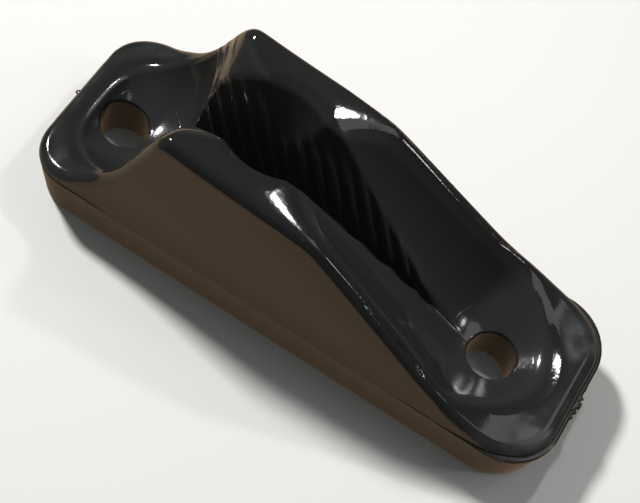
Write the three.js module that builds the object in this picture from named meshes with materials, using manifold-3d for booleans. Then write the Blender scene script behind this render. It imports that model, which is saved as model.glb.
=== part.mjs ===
// A V-jam rope cleat in black moulded plastic, for line of about 3 to 6 mm.
// Millimetres, +Z up. The origin is the middle of the underside. +X runs along the rope groove,
// from the blunt front end to the low end of the long slope, and the cleat is a mirror image
// of itself across the XZ plane.
import * as THREE from "three";
import { mergeVertices } from "three/addons/utils/BufferGeometryUtils.js";
import Module from "manifold-3d";

const wasm = await Module();
wasm.setup();

// Outline at the parting line, which is the widest level of the cleat.
const LENGTH = 58.9;
const WIDTH = 20;
const PARTING_Z = 6;
const FRONT_CORNER_R = 4.5;
const REAR_CORNER_R = 5.6;
const JOINT_GAP = 0.3;

// Draft of the outer walls, above and below the parting line.
const JAW_DRAFT = Math.tan(THREE.MathUtils.degToRad(6.8));
const BASE_INSET_X = 0.55;
const BASE_INSET_Y = 0.75;
const JAW_EDGE_R = 1;
// The body stands a little inside the base, so that the base shows as a thin ledge.
const LEDGE = 0.12;

// Screw holes, each in the floor of a bowl.
const HOLE_R = 2.6;
const FRONT_HOLE_X = -23.8;
const REAR_HOLE_X = 19.8;
const FLOOR_Z = 4.8;

// Rope groove: a steep V between the jaws.
const VEE_HALF_ANGLE = THREE.MathUtils.degToRad(16.2);
const VEE_SLOPE = Math.tan(VEE_HALF_ANGLE);
const VEE_BOTTOM_Z = 7;
const VEE_BOTTOM_HALF = 0.15;
const VEE_FRONT_X = -20;
const VEE_REAR_X = 14.5;
// How fast the extra width between the jaws closes again with depth, behind the front opening.
const CLOSING = { rate: 0.3, fromX: -18.5, toX: -15.5 };

// Front bowl: a round floor that closes a little in front of its hole, and rises towards the V.
const FRONT_BOWL = { radius: 9, x: -22.5, squeeze: 1.26, power: 3.2 };
const ENTRY = { fromX: -21, toX: -12, rise: 2.1 };

// Rear ramp, and the bowl at its foot, whose wall is part of a cone round the screw hole.
const RAMP = { footX: 16.4, slope: 0.69, topRadius: 8.1, footRadius: 10.1, topX: 12, wideX: 20 };
const REAR_CONE = { radius: 2.3, slope: 0.625, fromX: 16, toX: 20 };

// Gripping teeth on both faces of the V. They lean forward as they rise.
const TOOTH_COUNT = 12;
const TOOTH_PITCH = 1.8;
const TOOTH_DEPTH = 0.35;
const TOOTH_HALF = 0.7;
const TOOTH_LEAN = 0.63;
const TOOTH_FOOT_X = -12.6;
const TOOTH_FOOT_Z = 8;
const TOOTH_TOP_Z = 17.2;

// The stub that the moulding gate leaves at each end.
const GATE = { proud: 0.35, width: 1.4, height: 0.8 };

const ABOVE_Z = 24;
const STATIONS = 84;
const ROWS = 15;

// Side view of the crest: the low front rim, the steep front of the jaws, the nearly level
// lands with their peak, and the long slope down to the rear rim.
const CREST = new THREE.SplineCurve([
  new THREE.Vector2(-32, 6.9),
  new THREE.Vector2(-27.5, 6.9),
  new THREE.Vector2(-24.5, 7.5),
  new THREE.Vector2(-22.2, 8.9),
  new THREE.Vector2(-20.2, 11.3),
  new THREE.Vector2(-18.3, 15.5),
  new THREE.Vector2(-17, 19),
  new THREE.Vector2(-15.7, 21.1),
  new THREE.Vector2(-14, 21),
  new THREE.Vector2(-9, 20.3),
  new THREE.Vector2(-4, 19.75),
  new THREE.Vector2(0, 18.95),
  new THREE.Vector2(4, 17.1),
  new THREE.Vector2(9, 14),
  new THREE.Vector2(14, 10.9),
  new THREE.Vector2(19, 8.5),
  new THREE.Vector2(24, 6.95),
  new THREE.Vector2(28, 6.75),
  new THREE.Vector2(32, 6.75),
]);

// Plan view: how much further from the middle each land's inner edge lies than the V alone would
// put it. It opens wide at the front, and there is one scallop between two cusps.
const SPREAD = new THREE.SplineCurve([
  new THREE.Vector2(-32, 8.2),
  new THREE.Vector2(-24, 8.1),
  new THREE.Vector2(-21, 7.4),
  new THREE.Vector2(-19.5, 6.7),
  new THREE.Vector2(-18, 4.85),
  new THREE.Vector2(-16.5, 2.8),
  new THREE.Vector2(-15, 1.75),
  new THREE.Vector2(-13.5, 0.95),
  new THREE.Vector2(-11.9, 0),
  new THREE.Vector2(-10.2, 0.75),
  new THREE.Vector2(-8.3, 1),
  new THREE.Vector2(-6.4, 0.75),
  new THREE.Vector2(-4.7, 0),
  new THREE.Vector2(-2, -2),
  new THREE.Vector2(32, -4),
]);

// A closed three.js geometry as a solid.
function solid(geometry) {
  const bare = geometry.clone();
  bare.deleteAttribute("normal");
  bare.deleteAttribute("uv");
  const merged = mergeVertices(bare, 1e-4);
  return new wasm.Manifold(
    new wasm.Mesh({
      numProp: 3,
      vertProperties: new Float32Array(merged.attributes.position.array),
      triVerts: new Uint32Array(merged.index.array),
    }),
  );
}

// A solid as a three.js geometry.
function geometryOf(body) {
  const mesh = body.getMesh();
  const geometry = new THREE.BufferGeometry();
  geometry.setAttribute("position", new THREE.BufferAttribute(mesh.vertProperties, 3));
  geometry.setIndex(new THREE.BufferAttribute(mesh.triVerts, 1));
  const flat = geometry.toNonIndexed();
  flat.computeVertexNormals();
  return flat;
}

// Moves every vertex of a geometry to move(x, y, z).
function warp(geometry, move) {
  const position = geometry.attributes.position;
  for (let i = 0; i < position.count; i++) {
    position.setXYZ(i, ...move(position.getX(i), position.getY(i), position.getZ(i)));
  }
  return geometry;
}

// The height of a curve at any x on it.
function heightAlong(curve) {
  const points = curve.getPoints(600);
  return (x) => {
    const next = Math.max(1, points.findIndex((p) => p.x >= x));
    const a = points[next - 1];
    const b = points[next];
    return a.y + ((x - a.x) * (b.y - a.y)) / (b.x - a.x);
  };
}

const crestAt = heightAlong(CREST);
const spreadAt = heightAlong(SPREAD);
const { clamp, lerp, mapLinear, smoothstep } = THREE.MathUtils;

// Plan outline: a long rectangle whose front and rear corners are rounded.
function outline(halfLength, halfWidth) {
  const shape = new THREE.Shape();
  const front = FRONT_CORNER_R;
  const rear = REAR_CORNER_R;
  shape.absarc(halfLength - rear, rear - halfWidth, rear, -Math.PI / 2, 0);
  shape.absarc(halfLength - rear, halfWidth - rear, rear, 0, Math.PI / 2);
  shape.absarc(front - halfLength, halfWidth - front, front, Math.PI / 2, Math.PI);
  shape.absarc(front - halfLength, front - halfWidth, front, Math.PI, Math.PI * 1.5);
  return shape;
}

// A block with the plan outline, full size at fullZ and narrower at slimZ.
function draftedBlock(halfLength, halfWidth, fullZ, slimZ, insetX, insetY) {
  const shape = outline(halfLength, halfWidth);
  const block = new THREE.ExtrudeGeometry(shape, { depth: 1, bevelEnabled: false, curveSegments: 10 });
  return warp(block, (x, y, z) => {
    const slim = slimZ > fullZ ? z : 1 - z;
    const thin = [1 - (slim * insetX) / halfLength, 1 - (slim * insetY) / halfWidth];
    return [x * thin[0], y * thin[1], Math.min(fullZ, slimZ) + z * Math.abs(slimZ - fullZ)];
  });
}

// How far a point lies inside the body's outline at height z.
function insideBy(x, y, z) {
  const radius = x < 0 ? FRONT_CORNER_R : REAR_CORNER_R;
  const acrossX = Math.abs(x) - (LENGTH / 2 - LEDGE - radius);
  const acrossY = Math.abs(y) - (WIDTH / 2 - LEDGE - (z - PARTING_Z) * JAW_DRAFT - radius);
  const corner = Math.hypot(Math.max(acrossX, 0), Math.max(acrossY, 0));
  return radius - corner - Math.min(Math.max(acrossX, acrossY), 0);
}

// Height of the crest with its rounded outer edge.
function crestSurface(x, y) {
  const top = crestAt(x);
  const radius = Math.min(JAW_EDGE_R, top - PARTING_Z - JOINT_GAP);
  const edge = clamp(radius - insideBy(x, y, top - radius), 0, radius);
  return top - radius + Math.sqrt(radius * radius - edge * edge);
}

// Height above the bottom of a round section, at a distance from its middle.
function roundRise(radius, away) {
  const reached = Math.min(away, radius * 0.999);
  return radius - Math.sqrt(radius * radius - reached * reached);
}

// Height of the front opening: the bowl's floor, or the flared jaw faces where they are higher.
function frontSurface(x, y) {
  const { radius, squeeze, power } = FRONT_BOWL;
  const beyond = Math.max(FRONT_BOWL.x - x, 0) * squeeze;
  const away = (beyond ** power + Math.abs(y) ** power) ** (1 / power);
  const keel = FLOOR_Z + ENTRY.rise * clamp(mapLinear(x, ENTRY.fromX, ENTRY.toX, 0, 1), 0, 1);
  const closing = CLOSING.rate * smoothstep(x, CLOSING.fromX, CLOSING.toX);
  const faceFoot = VEE_BOTTOM_Z * VEE_SLOPE - VEE_BOTTOM_HALF;
  const face = (Math.abs(y) - spreadAt(x) + faceFoot + closing * crestAt(x)) / (VEE_SLOPE + closing);
  return Math.max(keel + roundRise(radius, away), face);
}

// Height of the rear ramp and its bowl.
function rearSurface(x, y) {
  const radius = clamp(
    mapLinear(x, RAMP.topX, RAMP.wideX, RAMP.topRadius, RAMP.footRadius),
    RAMP.topRadius,
    RAMP.footRadius,
  );
  const away = Math.hypot(Math.max(x - REAR_HOLE_X, 0), y);
  const cone = REAR_CONE.slope * Math.max(away - REAR_CONE.radius, 0);
  const keel = FLOOR_Z + RAMP.slope * Math.max(RAMP.footX - x, 0);
  return keel + lerp(roundRise(radius, away), cone, smoothstep(x, REAR_CONE.fromX, REAR_CONE.toX));
}

function topSurface(x, y) {
  return Math.min(crestSurface(x, y), frontSurface(x, y), rearSurface(x, y));
}

// The y positions that divide a half section of the top surface into equal lengths.
function evenRows(x, halfWidth, count) {
  const steps = 300;
  const lengths = [0];
  for (let i = 1; i <= steps; i++) {
    const y0 = ((i - 1) * halfWidth) / steps;
    const y1 = (i * halfWidth) / steps;
    const rise = topSurface(x, y1) - topSurface(x, y0);
    lengths.push(lengths[i - 1] + Math.hypot(y1 - y0, rise));
  }
  return Array.from({ length: count + 1 }, (_, k) => {
    const wanted = (k / count) * lengths[steps];
    const next = Math.max(1, lengths.findIndex((length) => length >= wanted - 1e-9));
    return (mapLinear(wanted, lengths[next - 1], lengths[next], next - 1, next) * halfWidth) / steps;
  });
}

// Everything above the top surface, as a cutter: a block whose underside is that surface.
function topCutter() {
  const reach = WIDTH / 2 + 0.4;
  const stations = CREST.getSpacedPoints(STATIONS).map((point) => point.x);
  const rows = stations.map((x) => evenRows(x, reach, ROWS));
  const block = new THREE.BoxGeometry(STATIONS, 2 * ROWS, 1, STATIONS, 2 * ROWS, 1);
  return warp(block, (u, v, w) => {
    const station = Math.round(u + STATIONS / 2);
    const row = Math.round(v);
    const x = stations[station];
    const y = Math.sign(row) * rows[station][Math.abs(row)];
    return [x, y, w > 0 ? ABOVE_Z : topSurface(x, y)];
  });
}

// The V of the rope groove, run along X.
function veeCutter() {
  const topHalf = VEE_BOTTOM_HALF + (ABOVE_Z - VEE_BOTTOM_Z) * VEE_SLOPE;
  const section = new THREE.Shape();
  section.moveTo(-VEE_BOTTOM_HALF, VEE_BOTTOM_Z);
  section.lineTo(VEE_BOTTOM_HALF, VEE_BOTTOM_Z);
  section.lineTo(topHalf, ABOVE_Z);
  section.lineTo(-topHalf, ABOVE_Z);
  const prism = new THREE.ExtrudeGeometry(section, { depth: VEE_REAR_X - VEE_FRONT_X, bevelEnabled: false });
  const alongX = new THREE.Matrix4().makeBasis(
    new THREE.Vector3(0, 1, 0),
    new THREE.Vector3(0, 0, 1),
    new THREE.Vector3(1, 0, 0),
  );
  return prism.applyMatrix4(alongX.setPosition(VEE_FRONT_X, 0, 0));
}

// One tooth: a three-sided ridge that lies along one face of the V. side is 1 or -1.
function tooth(index, side) {
  const faceY = (z) => VEE_BOTTOM_HALF + (z - VEE_BOTTOM_Z) * VEE_SLOPE;
  const footX = TOOTH_FOOT_X + index * TOOTH_PITCH;
  const rise = TOOTH_TOP_Z - TOOTH_FOOT_Z;
  const foot = new THREE.Vector3(footX, side * faceY(TOOTH_FOOT_Z), TOOTH_FOOT_Z);
  const top = new THREE.Vector3(footX - rise * TOOTH_LEAN, side * faceY(TOOTH_TOP_Z), TOOTH_TOP_Z);
  const along = top.clone().sub(foot);
  const length = along.length();
  along.normalize();
  const intoGroove = new THREE.Vector3(0, -side * Math.cos(VEE_HALF_ANGLE), Math.sin(VEE_HALF_ANGLE));
  const across = new THREE.Vector3().crossVectors(intoGroove, along);
  const section = new THREE.Shape();
  section.moveTo(-TOOTH_HALF, -TOOTH_DEPTH);
  section.lineTo(TOOTH_HALF, -TOOTH_DEPTH);
  section.lineTo(0, TOOTH_DEPTH);
  const ridge = new THREE.ExtrudeGeometry(section, { depth: length, bevelEnabled: false });
  const basis = new THREE.Matrix4().makeBasis(across, intoGroove, along);
  return ridge.applyMatrix4(basis.setPosition(foot));
}

function screwHole(x) {
  const hole = new THREE.CylinderGeometry(HOLE_R, HOLE_R, ABOVE_Z, 32);
  return solid(hole.rotateX(Math.PI / 2).translate(x, 0, 0));
}

function gateStub(side) {
  const depth = 2 * GATE.proud;
  const stub = new THREE.BoxGeometry(depth, GATE.width, GATE.height);
  const z = PARTING_Z - JOINT_GAP / 2 - GATE.height / 2;
  return solid(stub.translate((side * LENGTH) / 2, 0, z));
}

const holes = screwHole(FRONT_HOLE_X).add(screwHole(REAR_HOLE_X));
const aboveSurface = solid(topCutter());

// The upper moulding: both jaws, the groove between them and the rim round both bowls.
function jawBody() {
  const bottom = PARTING_Z + JOINT_GAP / 2;
  const height = ABOVE_Z - bottom - 1;
  const halfLength = LENGTH / 2 - LEDGE;
  const halfWidth = WIDTH / 2 - LEDGE;
  const blank = draftedBlock(halfLength, halfWidth, bottom, bottom + height, 0, height * JAW_DRAFT);
  let groove = solid(veeCutter());
  for (let index = 0; index < TOOTH_COUNT; index++) {
    for (const side of [-1, 1]) groove = groove.subtract(solid(tooth(index, side)));
  }
  return solid(blank).subtract(groove).subtract(aboveSurface).subtract(holes);
}

// The lower moulding: the flat-bottomed base that both screws clamp down.
function basePlate() {
  const top = PARTING_Z - JOINT_GAP / 2;
  const blank = draftedBlock(LENGTH / 2, WIDTH / 2, top, 0, BASE_INSET_X, BASE_INSET_Y);
  const stubs = gateStub(-1).add(gateStub(1));
  return solid(blank).add(stubs).subtract(aboveSurface).subtract(holes);
}

function piece(name, body, colour, roughness) {
  const material = new THREE.MeshStandardMaterial({ color: colour, roughness, metalness: 0 });
  const mesh = new THREE.Mesh(geometryOf(body), material);
  mesh.name = name;
  return mesh;
}

const cleat = new THREE.Group();
cleat.add(piece("jaw_body", jawBody(), 0x0b0b0c, 0.2));
cleat.add(piece("base_plate", basePlate(), 0x0d0d0d, 0.35));

export default cleat;
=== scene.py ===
"""A V-jam rope cleat in black moulded plastic, on a pale floor.

The two CAD nodes are replaced by fine meshes. Each one is the zero surface of a distance field, which is
built in millimetres from the same few surfaces that the CAD part has, with every edge rounded.
"""
import math

import bmesh
import bpy
import numpy as np
from mathutils import Matrix, Vector


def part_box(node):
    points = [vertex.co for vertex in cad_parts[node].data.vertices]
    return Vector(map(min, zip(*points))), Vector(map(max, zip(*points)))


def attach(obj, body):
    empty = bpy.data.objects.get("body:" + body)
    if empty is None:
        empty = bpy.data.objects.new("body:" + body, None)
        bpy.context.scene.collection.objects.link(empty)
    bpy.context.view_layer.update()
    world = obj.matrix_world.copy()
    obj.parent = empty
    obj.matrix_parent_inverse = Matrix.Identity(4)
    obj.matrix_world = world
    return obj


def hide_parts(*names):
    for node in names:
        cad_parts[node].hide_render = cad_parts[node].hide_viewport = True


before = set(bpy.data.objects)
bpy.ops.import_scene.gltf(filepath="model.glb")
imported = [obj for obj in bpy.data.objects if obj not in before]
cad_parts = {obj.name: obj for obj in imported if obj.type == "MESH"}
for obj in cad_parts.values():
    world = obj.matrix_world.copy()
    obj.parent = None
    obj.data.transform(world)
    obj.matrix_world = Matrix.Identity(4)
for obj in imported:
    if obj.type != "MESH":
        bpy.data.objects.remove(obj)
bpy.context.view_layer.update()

MM = 0.001

# ---------------------------------------------------------------- dimensions, in millimetres

GATE_PROUD = 0.35
_, base_high = (np.array(corner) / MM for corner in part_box("base_plate"))
body_low, _ = (np.array(corner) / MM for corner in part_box("jaw_body"))
HALF_LENGTH = base_high[0] - GATE_PROUD
HALF_WIDTH = base_high[1]
PARTING = (base_high[2] + body_low[2]) / 2
FRONT_CORNER = 4.5
REAR_CORNER = 5.6

# The walls draw in by the draft above the parting line, and by the inset, at the ends and at the sides,
# between it and the underside.
JAW_DRAFT = math.tan(math.radians(6.8))
BASE_INSET = (0.55, 0.75)

# Radii of the rounded edges.
OUTER_EDGE = 1.0
END_EDGE = 1.7
INNER_EDGE = 0.7
FRONT_LIP_LESS = 0.3
REAR_LIP_LESS = 0.35
HOLE_EDGE = 0.2
UNDERSIDE_EDGE = 0.3
GRIP_EDGE = 0.3
SCALLOP_EDGE = 0.15
FLARE_EDGE = 1.5
RAMP_EDGE = 0.2
RAMP_FOOT_MORE = 0.5
SHARP = 0.001

# The parting line is a fine groove, full size at both ends and this share of it along the middle.
SEAM_EDGE = 0.16
SEAM_MIDDLE_SHARE = 0.12
SEAM_CENTRE = -1
SEAM_FULL = (14, 25)

HOLE_RADIUS = 2.55
FRONT_HOLE = -23.8
REAR_HOLE = 19.8
FLOOR = 4.8

VEE_ANGLE = math.radians(16.2)
VEE_APEX = 6.5
VEE_ROUND = 0.12
# Each trough ends in a bowl: where its axis stops, how much the bowl is shortened along X, and how square
# its outline is.
FRONT_BOWL = {"x": -22.5, "squeeze": 1.26, "power": 3.2}
REAR_BOWL = {"x": 19.8, "squeeze": 1, "power": 2}
# The wall of the rear bowl is part of a cone round the screw hole.
CONE_RADIUS = 2.1
CONE_RISE = 0.625
CONE_BLEND = 0.25
# The middle of each land is lower than its edges by up to this much.
LAND_CROWN = 0.2
# At the rear, the body stands this far inside the base.
LEDGE = 0.22
# The rear rim falls towards the lip of its bowl, by this much over about this distance.
RIM_DISH = 0.36
RIM_DISH_WIDTH = 0.8
RIM_DISH_POWER = 1.5

# Stretches along X over which one shape gives way to another, from none of it to all of it.
CONE_STARTS = (16, 20)
REAR_RIM_STARTS = (19, 24)
REAR_LIP_STARTS = (20, 23)
REAR_ROLL_STARTS = (22, 26)
RAMP_FOOT_STARTS = (10, 14)
FRONT_LIP_STARTS = (-16, -18)
CLOSING_STARTS = (-18.5, -15.5)
CROWN_STARTS = (-17, -14)
CROWN_STOPS = (20, 16)

# The gate stubs at the two ends: half widths at the front and the rear, half the height and how far out they
# reach, all before they are rounded, and how far their middles are under the parting line.
GATE_HALF_WIDTH = (0.1, 0.25)
GATE_HALF_HEIGHT = 0.1
GATE_REACH = 0.2
GATE_ROUND = 0.15
GATE_BLEND = 0.12
GATE_DROP = 0.3
# The beads of flash at the rear: the place of each one along X and Y, and its radius.
FLASH_BEADS = [(HALF_LENGTH, -1.6, 0.2), (HALF_LENGTH, -0.9, 0.28), (HALF_LENGTH, 0.8, 0.24),
               (HALF_LENGTH, 1.9, 0.17), (25.6, -9.7, 0.18), (26.6, -9.15, 0.16)]
FLASH_DROP = 0.25
FLASH_BLEND = 0.08

# Scuffed patches on the rear rim: their centres along X and Y, and how far they reach.
SCUFFS = [(25.5, -6, 4), (26.4, 5.8, 3.2)]

# The teeth lean forward as they rise and sweep back towards the middle. They fade in over a stretch below
# the land and over another above the bottom of the V, and in front of the peak they reach the top.
TOOTH_PITCH = 1.8
TOOTH_HEIGHT = 0.35
TOOTH_HALF = 0.5
TOOTH_ROUND = math.sqrt(0.004)
TOOTH_LEAN = 0.5
TOOTH_SWEEP = 0.45
TOOTH_PHASE = -4.8
TOOTH_FIRST = -2.45
TOOTH_BELOW_LAND = (1.8, 4.5)
TOOTH_ABOVE_BOTTOM = (7.5, 9.5)
TOOTH_FRONT_STARTS = (-15.8, -17.2)
VEE_SPAN = (-21, 17)

SCALLOP_SPAN = (-14, 0)
SCALLOP_X = -8.3
SCALLOP_HALF = 3.6
SCALLOP_DEPTH = 1.0
SCALLOP_DROP = 5.0

# Side view: heights along the crest, and along the lowest line of each trough.
CREST = [(-34, 6.8), (-26.5, 6.85), (-24, 7.6), (-21.2, 9.9), (-19.6, 12.3), (-18, 16.2), (-16.4, 20.6),
         (-15.4, 21.05), (-12, 20.6), (-6, 20.0), (-3, 19.55), (0.6, 18.95), (3, 17.6), (9, 13.95),
         (15, 10.3), (19.5, 8.25), (23, 7.05), (25.2, 6.8), (34, 7)]
FRONT_KEEL = [(-34, FLOOR), (-21, FLOOR), (-17, 6.3), (-12, 6.9), (34, 9)]
REAR_KEEL = [(-34, 39.5), (16.4, FLOOR), (34, FLOOR)]
TROUGH_RADIUS = [(-34, 9), (-14, 9), (-4, 8), (12, 8.1), (15, 8.5), (18, 9.6), (20, 10.1), (34, 10.1)]
# Plan view: how much further apart the jaw faces stand at the front than the V alone would put them.
FLARE = [(-34, 8.2), (-24, 8.1), (-21, 7.4), (-19.5, 6.7), (-18.75, 6), (-18, 4.85), (-17.25, 3.7),
         (-16.5, 2.8), (-15, 1.75), (-13.5, 0.95), (-12, 0.2), (-9, -1.4), (34, -1.4)]
# How fast the extra width near the peak closes again with depth.
FLARE_CLOSING = 0.7

# Meshing: the sizes of the grid cells, the room that the grids leave round the pieces, the top of the
# body's grid, and the gap at the parting line.
BODY_CELL = 0.2
BASE_CELL = 0.22
ROOM_ALONG = 1
ROOM_ACROSS = 0.6
ROOM_BELOW = 0.9
ROOM_OVER_BASE = 1.1
BODY_TOP = 21.8
SEAM_GAP = 0.006
ALMOST_ZERO = 1e-6

# Wear, from 0 to 1: a little over the whole top, more on the rear and front rims, and most in the scuffs and
# on the rolled edge of the rear rim.
WEAR_ON_TOP = 0.05
WEAR_AT_REAR = 0.15
WEAR_AT_FRONT = 0.3
WEAR_IN_SCUFF = 0.6
WEAR_ON_ROLL = 0.5
REAR_WEAR_STARTS = (18, 23)
FRONT_WEAR_STARTS = (-21, -25)
ROLL_WEAR_STARTS = (20, 24)
# The share of a scuff's reach that is worn evenly.
SCUFF_CORE = 0.3
# Stretches of distance outside the interior, and of height over the crest, where the wear comes in; the last
# one is where the rope rubbing, and the painted light that makes the shaded interior paler, come in.
CLEAR_OF_LIP = (-0.6, -1.2)
NEAR_CREST = (-1.2, -0.5)
UNDER_ROLL = (-0.05, -0.25)
RUBBED_AND_PAINTED_LIGHT_FROM = (-0.4, -0.1)

# Looks of the plastic: roughness and colour where it is clean, where the rope rubs and where it is worn. The
# colour where the rope rubs is paler also as painted light, which lifts the shade inside the V, the troughs
# and the bowls.
BODY_ROUGHNESS = 0.06
BASE_ROUGHNESS = 0.1
RUBBED_ROUGHNESS = 0.13
WORN_ROUGHNESS = (0.16, 0.5)
CLEAN_BLACK = (0.013, 0.013, 0.013)
# Paler than clean black, partly from rope rubbing and partly as painted light in the shaded interior.
RUBBED_AND_PAINTED_LIGHT_BLACK = (0.022, 0.022, 0.022)
WORN_GREYS = ((0.028, 0.029, 0.027), (0.045, 0.048, 0.049))
BUMP_HEIGHT = 0.00001
BUMP_STRENGTH = 0.3

# How far most of the lamps stand from the cleat, in metres.
LAMP_DISTANCE = 0.5


# ---------------------------------------------------------------- shape tools

def smooth_curve(points, blur):
    """The height and the slope, at any x, of the broken line through the points with its corners rounded
    over about blur millimetres."""
    step = 0.01
    furthest = 36
    x = np.arange(-furthest, furthest + step, step)
    y = np.interp(x, *np.array(points, float).T)
    tail = 4 * blur
    taps = np.arange(-tail, tail + step, step)
    weights = np.exp(-0.5 * (taps / blur) ** 2)
    padded = np.pad(y, len(taps) // 2, mode="edge")
    rounded = np.convolve(padded, weights / weights.sum(), mode="same")[len(taps) // 2:][:len(x)]
    slope = np.gradient(rounded, step)
    return lambda at: np.interp(at, x, rounded), lambda at: np.interp(at, x, slope)


def both(a, b, radius):
    """Field of what lies in both a and b, with their shared edge rounded to that radius."""
    outside = np.hypot(np.maximum(a + radius, 0), np.maximum(b + radius, 0))
    return np.minimum(np.maximum(a, b), -radius) + outside


def either(a, b, radius):
    """Field of what lies in a or in b, with the corner between them filled to that radius."""
    return -both(-a, -b, radius)


def ramp(value, start, end):
    """0 at start, 1 at end, with a smooth change between them."""
    t = np.clip((value - start) / (end - start), 0, 1)
    return t * t * (3 - 2 * t)


crest_height, crest_slope = smooth_curve(CREST, blur=0.7)
front_keel, front_slope = smooth_curve(FRONT_KEEL, blur=0.5)
rear_keel, rear_slope = smooth_curve(REAR_KEEL, blur=1.1)
trough_radius, _ = smooth_curve(TROUGH_RADIUS, blur=1.5)
flare, flare_slope = smooth_curve(FLARE, blur=0.4)


def plan_distance(x, y, half_length, half_width):
    """Distance outside the rounded plan outline."""
    corner = np.where(x < 0, FRONT_CORNER, REAR_CORNER)
    past_x = np.abs(x) - (half_length - corner)
    past_y = np.abs(y) - (half_width - corner)
    past = np.hypot(np.maximum(past_x, 0), np.maximum(past_y, 0))
    return past + np.minimum(np.maximum(past_x, past_y), 0) - corner


def seam_roll(x, z):
    """How far the wall draws in right at the parting line."""
    near_an_end = ramp(np.abs(x - SEAM_CENTRE), *SEAM_FULL)
    size = SEAM_EDGE * (SEAM_MIDDLE_SHARE + (1 - SEAM_MIDDLE_SHARE) * near_an_end)
    return size * np.maximum(1 - np.abs(z - PARTING) / SEAM_EDGE, 0) ** 2


def upper_wall(x, y, z):
    """Distance outside the drafted wall above the parting line."""
    draft = (z - PARTING) * JAW_DRAFT
    roll = seam_roll(x, z) + LEDGE * ramp(x, *REAR_RIM_STARTS)
    return plan_distance(x, y, HALF_LENGTH - roll, HALF_WIDTH - draft - roll)


def lower_wall(x, y, z):
    """Distance outside the wall below the parting line, which draws in towards the underside."""
    drop = (PARTING - z) / PARTING
    roll = seam_roll(x, z)
    return plan_distance(x, y, HALF_LENGTH - BASE_INSET[0] * drop - roll,
                         HALF_WIDTH - BASE_INSET[1] * drop - roll)


def trough(x, y, z, keel, slope, bowl, side):
    """A round-bottomed trough along X, closed at one end by part of a bowl. Positive inside it."""
    beyond = np.maximum(side * (x - bowl["x"]), 0) * bowl["squeeze"]
    radius = trough_radius(x)
    power = bowl["power"]
    away = (beyond ** power + np.maximum(np.abs(y), ALMOST_ZERO) ** power) ** (1 / power)
    not_quite_upright = 0.995
    away = np.minimum(away, radius * not_quite_upright)
    drop = np.sqrt(radius ** 2 - away ** 2)
    steep = np.where(beyond > 0, bowl["squeeze"], 1) * away / drop
    conical = ramp(x, *CONE_STARTS)
    up_cone = away - CONE_RADIUS
    cone = CONE_RISE * (up_cone + np.hypot(up_cone, CONE_BLEND)) / 2
    rise = (1 - conical) * (radius - drop) + conical * cone
    steep = (1 - conical) * steep + conical * CONE_RISE
    return (z - keel(x) - rise) / np.sqrt(1 + slope(x) ** 2 + steep ** 2)


def vee(x, y, z):
    """The V between the jaws, alone and with a scallop taken out of the top of each face. Both are
    positive inside it."""
    face = (z - VEE_APEX) * math.sin(VEE_ANGLE) - np.sqrt(y ** 2 + VEE_ROUND ** 2) * math.cos(VEE_ANGLE)
    along = (x - SCALLOP_X) / SCALLOP_HALF
    hollow = SCALLOP_DEPTH * (1 - along ** 2) - (crest_height(x) - z) / SCALLOP_DROP
    return face, face + hollow


def tooth_ridges(x, y, z):
    """Height of the gripping teeth over the faces they stand on."""
    phase = (x + TOOTH_LEAN * z + TOOTH_SWEEP * np.abs(y) - TOOTH_PHASE) / TOOTH_PITCH
    from_ridge = np.abs(phase - np.round(phase)) * TOOTH_PITCH
    shape = np.maximum(1 - np.sqrt(from_ridge ** 2 + TOOTH_ROUND ** 2) / TOOTH_HALF, 0)
    below_land = ramp(crest_height(x) - z, *TOOTH_BELOW_LAND)
    window = np.maximum(below_land, ramp(x, *TOOTH_FRONT_STARTS)) * ramp(z, *TOOTH_ABOVE_BOTTOM)
    return TOOTH_HEIGHT * shape * window * (phase > TOOTH_FIRST)


def between(field, x, span):
    """The field, cut off at both ends of a stretch along X. Positive inside."""
    return np.minimum(np.minimum(field, x - span[0]), span[1] - x)


def interior(x, y, z):
    """Everything the rope and the screw heads use: V, front trough and rear ramp. Positive inside it."""
    face, scalloped = vee(x, y, z)
    scalloped = between(scalloped, x, SCALLOP_SPAN)
    front = trough(x, y, z, front_keel, front_slope, FRONT_BOWL, -1)
    closing = FLARE_CLOSING * ramp(x, *CLOSING_STARTS)
    spread = flare(x) - closing * np.maximum(crest_height(x) - z, 0)
    flared = face + spread * math.cos(VEE_ANGLE)
    front = either(front, flared / np.sqrt(1 + flare_slope(x) ** 2 + closing ** 2), FLARE_EDGE)
    rear = trough(x, y, z, rear_keel, rear_slope, REAR_BOWL, 1)
    gripping = both(between(face, x, VEE_SPAN), front, GRIP_EDGE) - tooth_ridges(x, y, z)
    rear_edge = RAMP_EDGE + RAMP_FOOT_MORE * ramp(x, *RAMP_FOOT_STARTS)
    return both(both(gripping, scalloped, SCALLOP_EDGE), rear, rear_edge)


def screw_holes(x, y):
    """Positive inside either screw hole."""
    front = HOLE_RADIUS - np.hypot(x - FRONT_HOLE, y)
    rear = HOLE_RADIUS - np.hypot(x - REAR_HOLE, y)
    return np.maximum(front, rear)


def crest_distance(x, y, z):
    """Height over the crest. The rear rim is dished, so that it falls a little towards its bowl."""
    inside = interior(x, y, z)
    near_lip = np.clip(1 + inside / RIM_DISH_WIDTH, 0, 1)
    dish = RIM_DISH * near_lip ** RIM_DISH_POWER * ramp(x, *REAR_RIM_STARTS)
    from_lip = np.maximum(-inside, 0)
    from_wall = np.maximum(-upper_wall(x, y, z), 0)
    off_middle = (from_lip - from_wall) / np.maximum(from_lip + from_wall, 1)
    crown = LAND_CROWN * off_middle ** 2 * ramp(x, *CROWN_STOPS) * ramp(x, *CROWN_STARTS)
    return (z - crest_height(x) + dish + crown) / np.sqrt(1 + crest_slope(x) ** 2)


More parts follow.
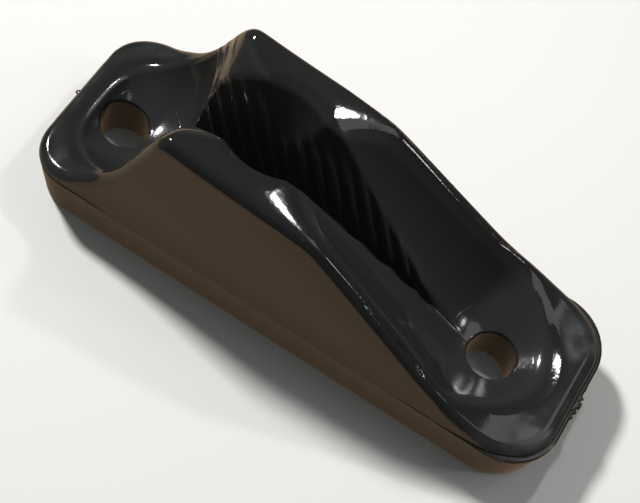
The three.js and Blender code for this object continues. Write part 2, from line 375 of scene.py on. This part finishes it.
def top_side(x, y, z):
    """What lies under the crest and outside the interior."""
    less = FRONT_LIP_LESS * ramp(x, *FRONT_LIP_STARTS) + REAR_LIP_LESS * ramp(x, *REAR_LIP_STARTS)
    edge = INNER_EDGE - less
    return both(crest_distance(x, y, z), interior(x, y, z), edge)


def body_field(x, y, z):
    """The upper moulding, before it is cut at the parting line. Negative inside it."""
    edge = OUTER_EDGE + (END_EDGE - OUTER_EDGE) * ramp(x, *REAR_ROLL_STARTS)
    return both(both(top_side(x, y, z), upper_wall(x, y, z), edge), screw_holes(x, y), HOLE_EDGE)


def gate_stubs(x, y, z):
    """The stubs left by the moulding gate, just under the parting line at both ends."""
    past_x = np.maximum(np.abs(x) - HALF_LENGTH - GATE_REACH, 0)
    past_y = np.maximum(np.abs(y) - np.where(x < 0, *GATE_HALF_WIDTH), 0)
    past_z = np.maximum(np.abs(z - PARTING + GATE_DROP) - GATE_HALF_HEIGHT, 0)
    return np.hypot(past_x, np.hypot(past_y, past_z)) - GATE_ROUND


def base_field(x, y, z):
    """The lower moulding with its stubs and flash, before it is cut. Negative inside it."""
    bead_edge = SHARP + LEDGE * ramp(x, *REAR_RIM_STARTS)
    plate = both(both(lower_wall(x, y, z), -z, UNDERSIDE_EDGE), z - PARTING, bead_edge)
    plate = either(plate, gate_stubs(x, y, z), GATE_BLEND)
    for bead_x, bead_y, radius in FLASH_BEADS:
        bead = np.sqrt((x - bead_x) ** 2 + (y - bead_y) ** 2 + (z - PARTING + FLASH_DROP) ** 2) - radius
        plate = either(plate, bead, FLASH_BLEND)
    return both(np.maximum(top_side(x, y, z), plate), screw_holes(x, y), HOLE_EDGE)


# ---------------------------------------------------------------- meshing

def surface_net(field, low, high, cell):
    """Vertices and outward-facing quads of the field's zero surface, by surface nets."""
    axes = [np.arange(a, b + cell, cell) for a, b in zip(low, high)]
    values = field(axes[0][:, None, None], axes[1][None, :, None], axes[2][None, None, :])
    inside = values < 0
    cells = np.array(values.shape) - 1
    total = np.zeros((int(cells.prod()), 4))
    corners = []
    for axis in range(3):
        head = np.moveaxis(inside, axis, 0)[1:]
        tail = np.moveaxis(inside, axis, 0)[:-1]
        at = np.stack(np.nonzero(np.moveaxis(head != tail, 0, axis)), 1)
        others = [(axis + 1) % 3, (axis + 2) % 3]
        keep = np.all([(at[:, k] > 0) & (at[:, k] < cells[k]) for k in others], axis=0)
        at = at[keep]
        after = at.copy()
        after[:, axis] += 1
        v0 = values[tuple(at.T)]
        v1 = values[tuple(after.T)]
        point = np.stack([axes[k][at[:, k]] for k in range(3)], 1)
        point[:, axis] += cell * v0 / (v0 - v1)
        ring = []
        for back_a, back_b in ((1, 1), (0, 1), (0, 0), (1, 0)):
            where = at.copy()
            where[:, others[0]] -= back_a
            where[:, others[1]] -= back_b
            flat = np.ravel_multi_index(where.T, cells)
            ring.append(flat)
            for k in range(3):
                total[:, k] += np.bincount(flat, point[:, k], len(total))
            total[:, 3] += np.bincount(flat, minlength=len(total))
        ring = np.stack(ring, 1)
        ring[v0 > 0] = ring[v0 > 0][:, ::-1]
        corners.append(ring)
    used = total[:, 3] > 0
    number = np.cumsum(used) - 1
    points = total[used, :3] / total[used, 3:]
    return points, number[np.concatenate(corners)]


def gradient(field, points):
    """The field's slope along each axis at every point."""
    step = 0.004
    sides = []
    for axis in range(3):
        offset = np.zeros(3)
        offset[axis] = step
        sides.append((field(*(points + offset).T) - field(*(points - offset).T)) / (2 * step))
    return np.stack(sides, 1)


def onto_surface(field, points, cell):
    """Moves points along the field's gradient until they lie on its zero surface."""
    rounds = 4
    least_steep = 0.05
    furthest = 0.6 * cell
    start = points.copy()
    for _ in range(rounds):
        slope = gradient(field, points)
        steep = np.maximum((slope ** 2).sum(1), least_steep)
        points = points - slope * (field(*points.T) / steep)[:, None]
        points = start + np.clip(points - start, -furthest, furthest)
    return points


def cut_flat(mesh, height, keep_above):
    """Cuts a closed mesh at a level plane and closes the cut with flat faces."""
    work = bmesh.new()
    work.from_mesh(mesh)
    everything = work.verts[:] + work.edges[:] + work.faces[:]
    cut = bmesh.ops.bisect_plane(work, geom=everything, plane_co=(0, 0, height), plane_no=(0, 0, 1),
                                 clear_inner=keep_above, clear_outer=not keep_above)
    rim = [item for item in cut["geom_cut"] if isinstance(item, bmesh.types.BMEdge) and item.is_boundary]
    bmesh.ops.triangle_fill(work, edges=rim, use_beauty=True, normal=(0, 0, -1 if keep_above else 1))
    work.to_mesh(mesh)
    work.free()


def make_piece(name, field, low, high, cell, cut_height, keep_above):
    """One closed piece whose surface is the field's zero level, cut flat at the parting line. Its normals
    come from the field, except on the cut."""
    points, quads = surface_net(field, low, high, cell)
    points = onto_surface(field, points, cell)
    mesh = bpy.data.meshes.new(name)
    mesh.from_pydata((points * MM).tolist(), [], quads.tolist())
    cut_flat(mesh, cut_height * MM, keep_above)
    count = len(mesh.vertices)
    place = np.empty(count * 3)
    mesh.vertices.foreach_get("co", place)
    slope = gradient(field, place.reshape(-1, 3) / MM)
    slope /= np.maximum(np.linalg.norm(slope, axis=1), ALMOST_ZERO)[:, None]
    corner_vertex = np.empty(len(mesh.loops), int)
    mesh.loops.foreach_get("vertex_index", corner_vertex)
    sizes = np.empty(len(mesh.polygons), int)
    mesh.polygons.foreach_get("loop_total", sizes)
    face_normal = np.empty(len(mesh.polygons) * 3)
    mesh.polygons.foreach_get("normal", face_normal)
    face_centre = np.empty(len(mesh.polygons) * 3)
    mesh.polygons.foreach_get("center", face_centre)
    on_plane = 1e-3
    flat = np.abs(face_centre[2::3] / MM - cut_height) < on_plane
    normals = slope[corner_vertex]
    on_cut = np.repeat(flat, sizes)
    normals[on_cut] = np.repeat(face_normal.reshape(-1, 3), sizes, axis=0)[on_cut]
    mesh.polygons.foreach_set("use_smooth", np.ones(len(sizes), bool))
    mesh.normals_split_custom_set(normals.tolist())
    piece = bpy.data.objects.new(name, mesh)
    bpy.context.scene.collection.objects.link(piece)
    return piece


grid_x = HALF_LENGTH + ROOM_ALONG
grid_y = HALF_WIDTH + ROOM_ACROSS
body = make_piece("cleat_body", body_field,
                  (-grid_x, -grid_y, PARTING - ROOM_BELOW), (grid_x, grid_y, BODY_TOP),
                  BODY_CELL, PARTING + SEAM_GAP / 2, True)
base = make_piece("cleat_base", base_field,
                  (-grid_x, -grid_y, -ROOM_BELOW), (grid_x, grid_y, PARTING + ROOM_OVER_BASE),
                  BASE_CELL, PARTING - SEAM_GAP / 2, False)


# ---------------------------------------------------------------- materials

def noise(nodes, links, place, scale, detail, low, high):
    """Noise of that scale, in features a metre, spread so that low and high become 0 and 1."""
    texture = nodes.new("ShaderNodeTexNoise")
    texture.inputs["Scale"].default_value = scale
    texture.inputs["Detail"].default_value = detail
    links.new(place, texture.inputs["Vector"])
    spread = nodes.new("ShaderNodeMapRange")
    spread.inputs["From Min"].default_value = low
    spread.inputs["From Max"].default_value = high
    links.new(texture.outputs["Fac"], spread.inputs["Value"])
    return spread.outputs["Result"]


def blend_value(nodes, links, factor, low, high):
    """A number that goes from low to high as factor goes from 0 to 1. Sockets 2 and 3 are the mix node's
    two numbers."""
    mix = nodes.new("ShaderNodeMix")
    links.new(factor, mix.inputs["Factor"])
    for socket, value in ((mix.inputs[2], low), (mix.inputs[3], high)):
        if isinstance(value, (int, float)):
            socket.default_value = value
        else:
            links.new(value, socket)
    return mix.outputs[0]


def blend_colour(nodes, links, factor, low, high):
    """A colour that goes from low to high as factor goes from 0 to 1. Sockets 6 and 7 are the mix node's
    two colours."""
    mix = nodes.new("ShaderNodeMix")
    mix.data_type = "RGBA"
    links.new(factor, mix.inputs["Factor"])
    for socket, value in ((mix.inputs[6], low), (mix.inputs[7], high)):
        if isinstance(value, tuple):
            socket.default_value = (*value, 1)
        else:
            links.new(value, socket)
    return mix.outputs[2]


def read_value(nodes, name):
    """The value of that name painted on the mesh."""
    attribute = nodes.new("ShaderNodeAttribute")
    attribute.attribute_name = name
    return attribute.outputs["Fac"]


def black_plastic(name, roughness):
    """Glossy black plastic: hazy and scuffed where the mesh's worn value is 1. Where its value for rope
    rubbing and painted light is 1, it is less glossy from the rope and a little paler as painted light on
    the interior's shade."""
    material = bpy.data.materials.new(name)
    material.use_nodes = True
    nodes = material.node_tree.nodes
    links = material.node_tree.links
    shader = nodes["Principled BSDF"]
    place = nodes.new("ShaderNodeTexCoord").outputs["Object"]
    worn = read_value(nodes, "worn")
    rubbed_and_painted_light = read_value(nodes, "rubbed_and_painted_light")
    patches = noise(nodes, links, place, scale=420, detail=8, low=0.38, high=0.66)
    grain = noise(nodes, links, place, scale=2600, detail=3, low=0.3, high=0.7)
    swirls = noise(nodes, links, place, scale=700, detail=6, low=0.35, high=0.65)
    marks = blend_value(nodes, links, worn, 0, swirls)
    haze = blend_value(nodes, links, patches, *WORN_ROUGHNESS)
    satin = blend_value(nodes, links, rubbed_and_painted_light, roughness, RUBBED_ROUGHNESS)
    rough = blend_value(nodes, links, worn, satin, haze)
    links.new(rough, shader.inputs["Roughness"])
    dull = blend_colour(nodes, links, patches, *WORN_GREYS)
    # Paler inside the V, the troughs and the bowls: rope rubbing, and painted light on their shade.
    unworn_with_painted_light = blend_colour(nodes, links, rubbed_and_painted_light, CLEAN_BLACK, RUBBED_AND_PAINTED_LIGHT_BLACK)
    colour = blend_colour(nodes, links, worn, unworn_with_painted_light, dull)
    links.new(colour, shader.inputs["Base Color"])
    bump = nodes.new("ShaderNodeBump")
    bump.inputs["Distance"].default_value = BUMP_HEIGHT
    bump.inputs["Strength"].default_value = BUMP_STRENGTH
    links.new(blend_value(nodes, links, worn, grain, marks), bump.inputs["Height"])
    links.new(bump.outputs["Normal"], shader.inputs["Normal"])
    return material


def set_values(piece, name, values):
    """Paints one number at each vertex under that name."""
    attribute = piece.data.attributes.new(name, "FLOAT", "POINT")
    attribute.data.foreach_set("value", values)


def paint_wear_and_painted_light(piece):
    """Two values at each vertex. worn is highest in two patches of the rear rim and on its rolled edge, less
    over the rest of the rims and the lands, and 0 on the walls. The other value is 1 inside the V, the
    troughs and
    the bowls: where the rope rubs, and where painted light makes the shade paler."""
    place = np.empty(len(piece.data.vertices) * 3)
    piece.data.vertices.foreach_get("co", place)
    x, y, z = (place.reshape(-1, 3) / MM).T
    inside = interior(x, y, z)
    over = crest_distance(x, y, z)
    on_top = ramp(inside, *CLEAR_OF_LIP) * ramp(over, *NEAR_CREST)
    value = (WEAR_ON_TOP + WEAR_AT_REAR * ramp(x, *REAR_WEAR_STARTS)
             + WEAR_AT_FRONT * ramp(x, *FRONT_WEAR_STARTS))
    for patch_x, patch_y, reach in SCUFFS:
        away = np.hypot(x - patch_x, y - patch_y)
        value = value + WEAR_IN_SCUFF * ramp(away, reach, SCUFF_CORE * reach)
    rolled = WEAR_ON_ROLL * ramp(over, *UNDER_ROLL) * ramp(x, *ROLL_WEAR_STARTS)
    set_values(piece, "worn", np.clip(value + rolled, 0, 1) * on_top)
    # Painted light as well as rope rubbing: 1 inside the V, the troughs and the bowls.
    set_values(piece, "rubbed_and_painted_light", ramp(inside, *RUBBED_AND_PAINTED_LIGHT_FROM))


for piece in (body, base):
    paint_wear_and_painted_light(piece)
body.data.materials.append(black_plastic("body_plastic", BODY_ROUGHNESS))
base.data.materials.append(black_plastic("base_plastic", BASE_ROUGHNESS))

for piece, node, slot in ((body, "jaw_body", "body_plastic"), (base, "base_plate", "base_plastic")):
    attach(piece, "root")
    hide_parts(node)


# ---------------------------------------------------------------- stage

def lamp(name, place, target, size, power):
    """A white rectangular lamp at place, aimed at target. Sizes are in metres and the power is in watts."""
    data = bpy.data.lights.new(name, "AREA")
    data.shape = "RECTANGLE"
    data.size, data.size_y = size
    data.energy = power
    light = bpy.data.objects.new(name, data)
    bpy.context.scene.collection.objects.link(light)
    light.location = place
    aim = Vector(target) - Vector(place)
    light.rotation_euler = aim.to_track_quat("-Z", "Y").to_euler()


def lamp_towards(name, direction, size, power):
    """A lamp in that direction from the middle of the cleat's underside, aimed back at it."""
    lamp(name, Vector(direction).normalized() * LAMP_DISTANCE, (0, 0, 0), size, power)


def level_plane(name, height, half_size, colour, roughness):
    """A square, level plane of the stage."""
    work = bmesh.new()
    bmesh.ops.create_grid(work, x_segments=8, y_segments=8, size=half_size)
    mesh = bpy.data.meshes.new(name)
    work.to_mesh(mesh)
    work.free()
    plane = bpy.data.objects.new(name, mesh)
    plane.location.z = height
    bpy.context.scene.collection.objects.link(plane)
    material = bpy.data.materials.new(name)
    material.use_nodes = True
    shader = material.node_tree.nodes["Principled BSDF"]
    shader.inputs["Base Color"].default_value = (*colour, 1)
    shader.inputs["Roughness"].default_value = roughness
    mesh.materials.append(material)
    return plane


def glow_round(material, half_length, half_width, stops):
    """Makes a material glow by its distance outside a rectangle: each stop is a distance in metres and the
    colour there."""
    nodes = material.node_tree.nodes
    links = material.node_tree.links
    value = nodes.new("ShaderNodeTexCoord").outputs["Object"]
    for operation, other in (("ABSOLUTE", None), ("SUBTRACT", (half_length, half_width, 0)),
                             ("MAXIMUM", (0, 0, 0)), ("LENGTH", None)):
        step = nodes.new("ShaderNodeVectorMath")
        step.operation = operation
        links.new(value, step.inputs[0])
        if other:
            step.inputs[1].default_value = other
        value = step.outputs["Value" if operation == "LENGTH" else "Vector"]
    furthest = stops[-1][0]
    share = nodes.new("ShaderNodeMath")
    share.operation = "DIVIDE"
    share.inputs[1].default_value = furthest
    links.new(value, share.inputs[0])
    glow = nodes.new("ShaderNodeValToRGB")
    while len(glow.color_ramp.elements) < len(stops):
        glow.color_ramp.elements.new(1)
    for element, (distance, colour) in zip(glow.color_ramp.elements, stops):
        element.position = distance / furthest
        element.color = (*colour, 1)
    links.new(share.outputs["Value"], glow.inputs["Fac"])
    shader = nodes["Principled BSDF"]
    links.new(glow.outputs["Color"], shader.inputs["Emission Color"])
    shader.inputs["Emission Strength"].default_value = 1


def make_floor():
    """A pale floor, and just under it a glowing sheet that only shows in the plastic, as a painted
    reflection of a lit wooden table top.
    """
    floor = level_plane("floor", height=0, half_size=1.5, colour=(0.86, 0.85, 0.83), roughness=0.9)
    floor.visible_glossy = False
    floor.visible_shadow = False
    black = (0, 0, 0)
    lit_wood_glow = (0.62, 0.42, 0.25)
    shaded = (0.2, 0.135, 0.08)
    table = level_plane("table_reflection", height=-0.0002, half_size=0.12, colour=black, roughness=0.9)
    # Painted reflection: the glow is painted shade under the cleat, full from 8 to 30 mm out, and gone by 80
    # mm.
    stops = [(0, shaded), (0.008, lit_wood_glow), (0.03, lit_wood_glow), (0.08, black)]
    glow_round(table.data.materials[0], base_high[0] * MM, base_high[1] * MM, stops)
    table.visible_camera = False
    table.visible_diffuse = False
    table.visible_shadow = False
    table.visible_transmission = False


def make_camera():
    """A long lens, high on the near side and rolled, so that the cleat runs down to the right."""
    azimuth = math.radians(10.792)
    elevation = math.radians(60.953)
    roll = math.radians(22.652)
    distance = 156.583 * MM
    target = Vector((-0.202, 0.090, 4.2105)) * MM
    back = Vector((math.sin(azimuth) * math.cos(elevation), -math.cos(azimuth) * math.cos(elevation),
                   math.sin(elevation)))
    right = (-back).cross(Vector((0, 0, 1))).normalized()
    up = right.cross(-back)
    across = math.cos(roll) * right + math.sin(roll) * up
    above = -math.sin(roll) * right + math.cos(roll) * up
    data = bpy.data.cameras.new("camera")
    data.lens = 87.55
    data.sensor_width = 36
    data.clip_start = 0.01
    camera = bpy.data.objects.new("camera", data)
    bpy.context.scene.collection.objects.link(camera)
    turn = Matrix((across, above, back)).transposed()
    camera.matrix_world = Matrix.Translation(target + back * distance) @ turn.to_4x4()
    bpy.context.scene.camera = camera


def make_world():
    """Dim, nearly white light from all round, and a little more of it from overhead."""
    world = bpy.data.worlds.new("world")
    bpy.context.scene.world = world
    world.use_nodes = True
    nodes = world.node_tree.nodes
    links = world.node_tree.links
    place = nodes.new("ShaderNodeTexCoord")
    split = nodes.new("ShaderNodeSeparateXYZ")
    height = nodes.new("ShaderNodeMapRange")
    height.interpolation_type = "SMOOTHSTEP"
    height.inputs["From Min"].default_value = 0.5
    height.inputs["From Max"].default_value = 0.85
    height.inputs["To Min"].default_value = 0.1
    height.inputs["To Max"].default_value = 0.16
    links.new(place.outputs["Generated"], split.inputs["Vector"])
    links.new(split.outputs["Z"], height.inputs["Value"])
    links.new(height.outputs["Result"], nodes["Background"].inputs["Strength"])
    nodes["Background"].inputs["Color"].default_value = (0.95, 1, 0.97, 1)


make_floor()
make_camera()
make_world()
bpy.context.scene.view_settings.view_transform = "Standard"
lamp_towards("front_lamp", (-0.65, 0.2, 0.72), size=(0.06, 0.06), power=2.4)
lamp_towards("rear_lamp", (0.45, 0.3, 0.84), size=(0.25, 0.2), power=0.2)
lamp_towards("end_lamp", (0.75, 0.27, 0.58), size=(0.05, 0.05), power=0.13)
over_far_side = Vector((10.5, 43, 98)) * MM
middle_of_jaws = Vector((0, 0, 10)) * MM
lamp("top_lamp", over_far_side, middle_of_jaws, size=(0.0065, 0.0065), power=0.018)
